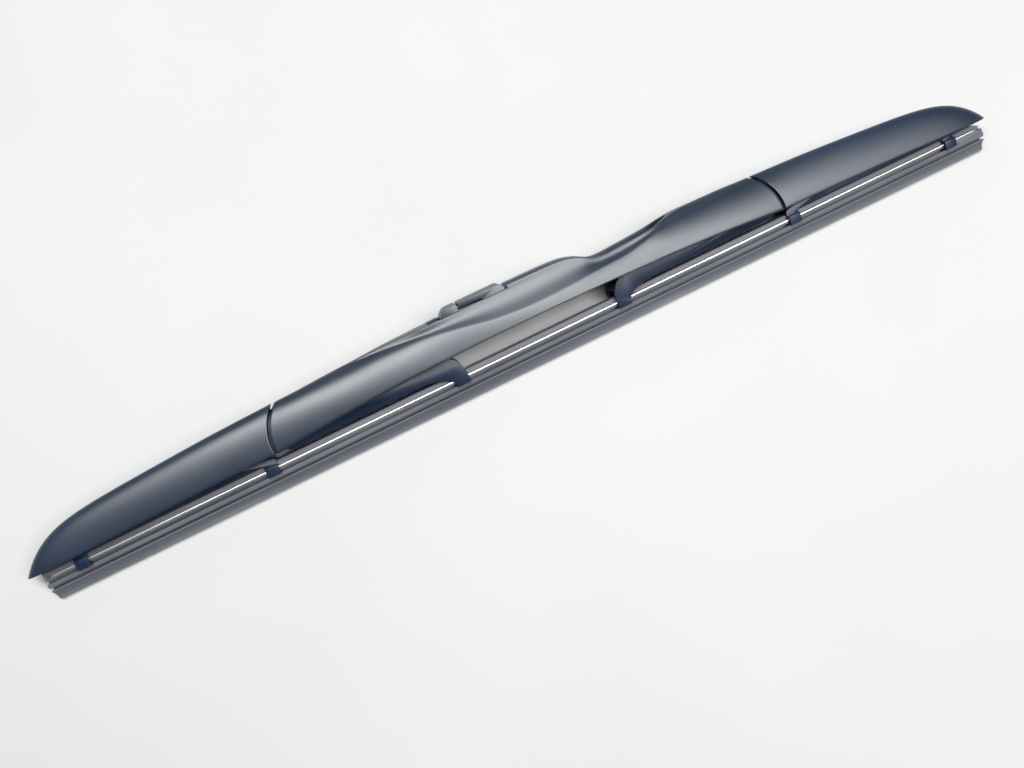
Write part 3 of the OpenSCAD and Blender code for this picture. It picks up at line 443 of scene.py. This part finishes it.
def gloss(nt, bsdf, fac, low, high):
    """Roughness that varies between two values; each is (position, value)."""
    nt.links.new(ramp(nt, fac, [(low[0], grey(low[1])), (high[0], grey(high[1]))]), bsdf.inputs["Roughness"])


def dusted(nt, bsdf, base, dust_colour, specks, start, end, share):
    """The base colour with specks of dust over it."""
    mix = nt.nodes.new("ShaderNodeMix")
    mix.data_type = "RGBA"
    nt.links.new(base, mix.inputs[6])
    mix.inputs[7].default_value = (*dust_colour, 1)
    nt.links.new(ramp(nt, specks, [(start, grey(0)), (end, grey(share))]), mix.inputs[0])
    nt.links.new(mix.outputs[2], bsdf.inputs["Base Color"])


def plastic(name, base, spread, rough, grain, dust):
    """Moulded plastic: a fine grain, soft patches of gloss, and a little pale dust."""
    m, nt, bsdf, coord = node_material(name)
    patches = noise(nt, coord, 38, 3, (0.35, 1, 1))
    specks = noise(nt, coord, 2600, 2)
    dark = tuple(c * (1 - spread) for c in base)
    light = tuple(min(c * (1 + spread) + dust * 0.012, 1) for c in base)
    base_colour = ramp(nt, patches, [(0.3, dark), (0.72, light)])
    dusted(nt, bsdf, base_colour, (0.32, 0.33, 0.34), specks, 0.70, 0.80, dust)
    bsdf.inputs["Specular IOR Level"].default_value = 0.95
    gloss(nt, bsdf, patches, (0.25, rough - 0.05), (0.75, rough + 0.06))
    bump(nt, bsdf, [(noise(nt, coord, 4200, 2), 0.22, grain),
                    (noise(nt, coord, 90, 2, (0.3, 1, 1)), 0.05, 0.0004)])
    return m


cover_mat = plastic("cover_plastic_blue_black", (0.003, 0.013, 0.032), 0.2, 0.39, 0.00003, 0.12)
clip_mat = plastic("clip_plastic", (0.010, 0.020, 0.034), 0.2, 0.4, 0.00003, 0.2)
bush_mat = plastic("bush_plastic", (0.02, 0.022, 0.026), 0.2, 0.5, 0.00002, 0.1)


def painted(name):
    """Powder-coated steel with the coat's fine orange peel."""
    m, nt, bsdf, coord = node_material(name)
    patches = noise(nt, coord, 60, 3)
    coat = ramp(nt, patches, [(0.3, (0.004, 0.012, 0.034)), (0.7, (0.007, 0.018, 0.048))])
    nt.links.new(coat, bsdf.inputs["Base Color"])
    gloss(nt, bsdf, patches, (0.3, 0.34), (0.7, 0.46))
    bump(nt, bsdf, [(noise(nt, coord, 1500, 3), 0.18, 0.00006)])
    return m


lever_mat = painted("lever_powder_coat")


def metal(name, low, high, rough, stretch):
    """Bare steel with drawn or turned streaks."""
    m, nt, bsdf, coord = node_material(name)
    bsdf.inputs["Metallic"].default_value = 1.0
    streaks = noise(nt, coord, 900, 3, stretch)
    nt.links.new(ramp(nt, streaks, [(0.3, low), (0.7, high)]), bsdf.inputs["Base Color"])
    gloss(nt, bsdf, streaks, (0.3, rough - 0.07), (0.7, rough + 0.08))
    bump(nt, bsdf, [(streaks, 0.12, 0.00004)])
    return m


rail_mat = metal("rail_steel_drawn", (0.80, 0.79, 0.76), (0.93, 0.92, 0.90), 0.34, (0.03, 1, 1))
pin_mat = metal("pin_steel_turned", (0.34, 0.33, 0.32), (0.52, 0.51, 0.50), 0.36, (1, 1, 1))


def rubber(name):
    """Extruded rubber with wear along it and pale dust."""
    m, nt, bsdf, coord = node_material(name)
    long_wear = noise(nt, coord, 160, 4, (0.12, 1, 1))
    specks = noise(nt, coord, 1900, 2)
    base = ramp(nt, long_wear, [(0.28, (0.085, 0.092, 0.112)), (0.62, (0.125, 0.132, 0.158)),
                                (0.82, (0.17, 0.178, 0.2))])
    dusted(nt, bsdf, base, (0.24, 0.23, 0.23), specks, 0.66, 0.78, 0.25)
    gloss(nt, bsdf, long_wear, (0.3, 0.5), (0.7, 0.66))
    bump(nt, bsdf, [(noise(nt, coord, 2400, 3), 0.2, 0.00003),
                    (noise(nt, coord, 300, 3, (0.05, 1, 1)), 0.15, 0.00008)])
    return m


rubber_mat = rubber("rubber_extruded")

# Centre cover, with plain stations close together at the seams, the bay's ends and the rim's notch
xs = [float(x) for x in np.linspace(-SEAM_X, SEAM_X, 201)]
stations = [(-SEAM_X, "closed", 0.2), (-SEAM_X + 0.12, "closed", 0.07), (-SEAM_X + 0.32, "closed", 0)]
for x in xs:
    if abs(x) > SEAM_X - 0.5 or min(abs(x - BAY_LEFT_X), abs(x - TROUGH_RIGHT_X)) < 0.3:
        continue
    stations.append((x, "open" if BAY_LEFT_X < x < TROUGH_RIGHT_X else "closed", 0))
stations += [(q + d, "open", 0) for q in (NOTCH_LEFT_X, NOTCH_RIGHT_X) for d in (-0.25, -0.04, 0.04, 0.25)]
stations += [(BAY_LEFT_X, "closed", 0), (BAY_LEFT_X + 1e-4, "open", 0), (TROUGH_RIGHT_X - 1e-4, "open", 0),
             (TROUGH_RIGHT_X, "closed", 0), (SEAM_X - 0.32, "closed", 0), (SEAM_X - 0.12, "closed", 0.07),
             (SEAM_X, "closed", 0.2)]
stations.sort(key=lambda s: s[0])
centre = cover_mesh("centre_cover_shell", stations, CENTRE_WALL, SEAM_R)
for line in ([(-98.5, 17.3), (-63, 17.7), (-51, 18.13)], [(75, 17.3), (98.5, 17.3)]):
    xs = np.linspace(line[0][0], line[-1][0], 14)
    lows = np.interp(xs, [q[0] for q in line], [q[1] for q in line])
    rib = [(float(x), float(low), float(cover_section(x)[7]) - 0.7) for x, low in zip(xs, lows)]
    add_block(centre, -RIB_HALF, RIB_HALF, rib)
for x in (-30, 22):
    for y in (-9.5, 5.1):
        add_block(centre, y, y + 4.4, [(x - 3, LUG_LOW_Z, LUG_HIGH_Z), (x + 3, LUG_LOW_Z, LUG_HIGH_Z)])
centre.data.materials.append(cover_mat)
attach(centre, "root")
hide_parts("centre_cover")

# End covers, each with a cavity up to the solid nose
CAVITY_END_X = TIP_X - 4.5
for side, word in ((-1, "left"), (1, "right")):
    along = [float(SEAM_X + 0.5 + (CAVITY_END_X - 0.1 - SEAM_X - 0.5) * t) for t in np.linspace(0, 1, 96)]
    nose = [float(CAVITY_END_X + 0.1 + (TIP_X - 0.2 - CAVITY_END_X - 0.1) * (1 - (1 - t) ** 1.6))
            for t in np.linspace(0, 1, 26)]
    rows = [(SEAM_X, "closed", 0.2), (SEAM_X + 0.12, "closed", 0.07), (SEAM_X + 0.32, "closed", 0)]
    rows += [(x, "closed", 0) for x in along] + [(x, "solid", 0) for x in nose]
    rows = [(side * x, s, p) for x, s, p in rows]
    cover = cover_mesh(f"{word}_end_cover_shell", rows, END_WALL, SEAM_R + SEAM_GAP)
    # A thin tongue under the centre cover closes the seam
    rows = [(side * (SEAM_X + d), "tongue", 0) for d in (-1.5, -0.8, 0, 0.6, 1.0, 1.4, 1.8, 2.2)]
    tongue = cover_mesh("tongue", rows, TONGUE_WALL, SEAM_R + SEAM_GAP)
    bm = bmesh.new()
    bm.from_mesh(cover.data)
    bm.from_mesh(tongue.data)
    bm.to_mesh(cover.data)
    bm.free()
    bpy.data.objects.remove(tongue)
    xs = np.linspace(PIVOT_X + 8, YOKE_X - 11, 10)
    lows = np.interp(xs, [PIVOT_X + 7, PIVOT_X + 27, YOKE_X], [13.4, 12.8, 10.6])
    rib = [(side * float(x), float(low) - 0.15, float(cover_section(x)[7]) - 0.7) for x, low in zip(xs, lows)]
    add_block(cover, -RIB_HALF, RIB_HALF, rib)
    for y in (-6.7, 3.92):
        lug = [(side * (PIVOT_X + d), END_LUG_LOW_Z, END_LUG_HIGH_Z) for d in (11.5, 16.5)]
        add_block(cover, y, y + 2.78, lug)
    cover.data.materials.append(cover_mat)
    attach(cover, f"{word}_lever")
    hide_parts(f"{word}_end_cover")

# CAD pieces that keep their shape: softened edges and better materials
for name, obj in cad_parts.items():
    if obj.hide_render or name in ("rubber_blade", "front_rail", "back_rail"):
        continue
    weld = obj.modifiers.new("weld", "WELD")
    weld.merge_threshold = 1e-6
    flat = obj.modifiers.new("flat", "DECIMATE")
    flat.decimate_type = "DISSOLVE"
    flat.angle_limit = math.radians(1.0)
    bevel = obj.modifiers.new("bevel", "BEVEL")
    bevel.width = 0.00035 if name == "adapter" else 0.00014
    bevel.segments = 3 if name == "adapter" else 2
    bevel.limit_method = "ANGLE"
    bevel.angle_limit = math.radians(35)
    bevel.harden_normals = False
    obj.data.shade_smooth()
    obj.data.set_sharp_from_angle(angle=math.radians(30))
    mat = lever_mat
    if name == "adapter":
        mat = clip_mat
    elif "bush" in name:
        mat = bush_mat
    elif "pin" in name or "rivet" in name:
        mat = pin_mat
    obj.data.materials.clear()
    obj.data.materials.append(mat)

# Rubber: head, rail slots, claw groove, flange, neck and lip, in four lengths
SLOT_TOP = RAIL_T / 2 + 0.05
HEAD_TOP = SLOT_TOP + HEAD_RISE
LEDGE_LOW = -SLOT_TOP - LEDGE_T
FLANGE_TOP = LEDGE_LOW - CLAW_GAP - HOOK_T - CLAW_GAP
FLANGE_LOW = FLANGE_TOP - FLANGE_T
NECK_LOW = FLANGE_LOW - NECK_H
RUBBER_LEFT, RUBBER_RIGHT = RUBBER_SHIFT - RUBBER_LENGTH / 2, RUBBER_SHIFT + RUBBER_LENGTH / 2


def rubber_half_section():
    """Points from the head's top down to the lip, which a hollow wedge thins to."""
    pts = [(0, HEAD_TOP), (1.0, HEAD_TOP), (1.8, HEAD_TOP), (2.14, HEAD_TOP - 0.16),
           (HEAD_HALF, HEAD_TOP - 0.5), (HEAD_HALF, SLOT_TOP), (1.1, SLOT_TOP), (1.1, -SLOT_TOP),
           (2.9, -SLOT_TOP), (2.9, LEDGE_LOW), (0.9, LEDGE_LOW), (0.9, FLANGE_TOP),
           (3.25, FLANGE_TOP), (3.4, FLANGE_TOP - 0.15), (3.2, FLANGE_LOW + 0.12), (3.05, FLANGE_LOW),
           (0.6, FLANGE_LOW), (0.45, FLANGE_LOW - 0.15), (0.45, NECK_LOW + 0.15), (0.6, NECK_LOW),
           (WEDGE_HALF - 0.15, NECK_LOW), (WEDGE_HALF, NECK_LOW - 0.15)]
    start = NECK_LOW - 0.4
    pts += [(LIP_HALF + (WEDGE_HALF - LIP_HALF) * (1 - t) ** 2.2, start + (-LIP_DROP - start) * t)
            for t in np.linspace(0, 1, 16)]
    return pts


def extrude_section(name, right, xs, sharp=30, cap=(True, True), x_of=None):
    """A mirrored section along X; x_of(x, y, z) may move the points of a station."""
    left = [(-y, z) for y, z in right[::-1] if abs(y) > 1e-9]
    ring = list(right) + left
    bm = bmesh.new()
    rows = []
    for x in xs:
        rows.append([bm.verts.new(lay((x_of(x, y, z) if x_of else x, y, z))) for y, z in ring])
    n = len(ring)
    for a, b in zip(rows[:-1], rows[1:]):
        for j in range(n):
            bm.faces.new([a[j], b[j], b[(j + 1) % n], a[(j + 1) % n]])
    for row, wanted in ((rows[0], cap[0]), (rows[-1], cap[1])):
        if wanted:
            face = bm.faces.new(row)
            bmesh.ops.triangulate(bm, faces=[face])
    bmesh.ops.recalc_face_normals(bm, faces=bm.faces)
    return finish_mesh(name, bm, sharp)


# Each length's name, ends, the two bodies that it bends between, and where the bend starts and ends
SPLIT_X = 34.8
LENGTHS = [("left_outer", RUBBER_LEFT, -SPLIT_X, "left_lever", "left_yoke", -41.0, -108.0),
           ("left_inner", -SPLIT_X, 0.0, "root", "left_lever", 0.0, -32.0),
           ("right_inner", 0.0, SPLIT_X, "root", "right_lever", 0.0, 32.0),
           ("right_outer", SPLIT_X, RUBBER_RIGHT, "right_lever", "right_yoke", 41.0, 108.0)]
section = rubber_half_section()
for word, x0, x1, a, b, s, e in LENGTHS:
    count = max(int((x1 - x0) / 2.0), 2)
    xs = list(np.linspace(x0, x1, count + 1))

    def moved(x, y, z):
        # The slanted cut above the rails at the right end
        far = RUBBER_RIGHT - HEAD_CUT_LEN * max(z - SLOT_TOP - 0.1, 0) / (HEAD_TOP - SLOT_TOP - 0.1)
        return min(x, far)

    piece = extrude_section(f"rubber_{word}", section, xs, 30, (x0 < -190, x1 > 190), moved)
    piece.data.materials.append(rubber_mat)
    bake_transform(piece)
    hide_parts("rubber_blade")

# The block that closes the claw groove at the right end
bm = bmesh.new()
ends = (RUBBER_RIGHT - STOPPER_LEN, RUBBER_RIGHT)
corners = ((-3.2, FLANGE_TOP - 0.1), (3.2, FLANGE_TOP - 0.1), (3.2, -SLOT_TOP), (-3.2, -SLOT_TOP))
rows = [[bm.verts.new(lay((x, y, z))) for y, z in corners] for x in ends]
for j in range(4):
    bm.faces.new([rows[0][j], rows[0][(j + 1) % 4], rows[1][(j + 1) % 4], rows[1][j]])
bm.faces.new(rows[0][::-1])
bm.faces.new(rows[1])
bmesh.ops.recalc_face_normals(bm, faces=bm.faces)
bmesh.ops.bevel(bm, geom=list(bm.edges), offset=0.00025, segments=3, affect="EDGES", profile=0.5)
stopper = finish_mesh("rubber_stopper", bm, 30)
stopper.data.materials.append(rubber_mat)
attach(stopper, "right_yoke")

# Rails: rounded edges and ends, and a small notch near each end that a claw could lock in
EDGE_R, NOTCH_R, END_X = 0.42, 0.5, 190
half = (RAIL_OUTER - RAIL_INNER) / 2
for side, rail in ((-1, "front_rail"), (1, "back_rail")):
    y0 = side * (RAIL_OUTER + RAIL_INNER) / 2
    t = RAIL_T / 2
    ring = [(half - EDGE_R + EDGE_R * math.cos(q), (t - EDGE_R) * (1 if q > 0 else -1) + EDGE_R * math.sin(q))
            for q in np.linspace(-math.pi / 2, math.pi / 2, 10)]
    ring += [(-y, z) for y, z in ring[::-1]]
    reach = RUBBER_LENGTH / 2 - RAIL_SETBACK
    for word, x0, x1, a, b, s, e in LENGTHS:
        x0, x1 = max(x0 - RUBBER_SHIFT, -reach), min(x1 - RUBBER_SHIFT, reach)
        xs = list(np.linspace(x0, x1, max(int((x1 - x0) / 3), 2) + 1))
        quarter = np.linspace(0, math.pi / 2, 7)
        notch = [NOTCH_R * math.cos(q) for q in np.linspace(math.pi, 0, 9)]
        if x0 < -END_X:
            xs = [x0 + half * (1 - math.cos(q)) for q in quarter] + xs[1:] + [NOTCH_IN - reach + d for d in notch]
        if x1 > END_X:
            xs = xs[:-1] + [x1 - half * (1 - math.sin(q)) for q in quarter] + [reach - NOTCH_IN + d for d in notch]
        xs.sort()
        bm = bmesh.new()
        rows = []
        for x in xs:
            into = min(x + reach, reach - x)
            w = 1 if into >= half else math.sqrt(max(1 - ((half - into) / half) ** 2, 0.0004))
            dent = math.sqrt(max(NOTCH_R ** 2 - (abs(x) - reach + NOTCH_IN) ** 2, 0))
            across = [y0 + y * w + (side * dent if y * side < 0 else 0) for y, z in ring]
            rows.append([bm.verts.new(lay((x + RUBBER_SHIFT, y, z))) for y, (_, z) in zip(across, ring)])
        for p, q in zip(rows[:-1], rows[1:]):
            for j in range(len(ring)):
                bm.faces.new([p[j], q[j], q[(j + 1) % len(ring)], p[(j + 1) % len(ring)]])
        if x0 < -END_X:
            bm.faces.new(rows[0])
        if x1 > END_X:
            bm.faces.new(rows[-1])
        bmesh.ops.recalc_face_normals(bm, faces=bm.faces)
        piece = finish_mesh(f"{rail}_{word}", bm, 35)
        piece.data.materials.append(rail_mat)
        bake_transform(piece)
        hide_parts(rail)

# Floor
bpy.ops.mesh.primitive_plane_add(size=6, location=(0, 0, 0))
floor = bpy.context.object
floor.name = "floor"
m, nt, bsdf, coord = node_material("floor_pale")
pale = ramp(nt, noise(nt, coord, 6, 3), [(0.3, (0.49, 0.498, 0.496)), (0.7, (0.515, 0.523, 0.521))])
nt.links.new(pale, bsdf.inputs["Base Color"])
bsdf.inputs["Roughness"].default_value = 0.75
floor.data.materials.append(m)


def light(name, place, target, size, size_y, power, colour=(1, 1, 1)):
    data = bpy.data.lights.new(name, "AREA")
    data.shape = "RECTANGLE"
    data.size, data.size_y = size, size_y
    data.energy = power
    data.color = colour
    obj = bpy.data.objects.new(name, data)
    bpy.context.scene.collection.objects.link(obj)
    obj.location = place
    obj.rotation_euler = (Vector(target) - Vector(place)).to_track_quat("-Z", "Y").to_euler()


light("key_softbox", (0.14, 0.04, 1.12), (0.1, 0, 0), 2.0, 0.42, 31, (1, 0.995, 0.985))
light("back_fill", (0.2, 0.95, 0.55), (0, 0, 0), 0.9, 0.35, 0.8, (0.95, 0.98, 1))

world = bpy.data.worlds.new("studio")
bpy.context.scene.world = world
world.use_nodes = True
world.node_tree.nodes["Background"].inputs["Color"].default_value = (0.93, 0.95, 1, 1)
world.node_tree.nodes["Background"].inputs["Strength"].default_value = 0.1

# Camera, solved for a blade that leans by cam_lay and turned with it to the blade's real lean
cam_lay = math.radians(27)
cx, cy, cz = -53.2216, -80.3101, 307.8534
pan, tilt = 0.466657, 1.325142
h = cy * math.cos(cam_lay) + cz * math.sin(cam_lay)
d = -cy * math.sin(cam_lay) + cz * math.cos(cam_lay)
place = lay((cx, -d, h))
turn = Matrix.Rotation(LAY - cam_lay, 3, "X")
fwd = turn @ Vector((math.sin(pan) * math.cos(tilt), math.cos(pan) * math.cos(tilt), -math.sin(tilt)))
right = turn @ Vector((math.cos(pan), -math.sin(pan), 0))
up = right.cross(fwd)
cam_data = bpy.data.cameras.new("camera")
cam_data.sensor_width = 36
cam_data.lens = 36 * 830 / 1024
cam_data.clip_start = 0.01
cam = bpy.data.objects.new("camera", cam_data)
bpy.context.scene.collection.objects.link(cam)
cam.matrix_world = Matrix.Translation(place) @ Matrix((right, up, -fwd)).transposed().to_4x4()
bpy.context.scene.camera = cam
bpy.context.scene.view_settings.view_transform = "Standard"
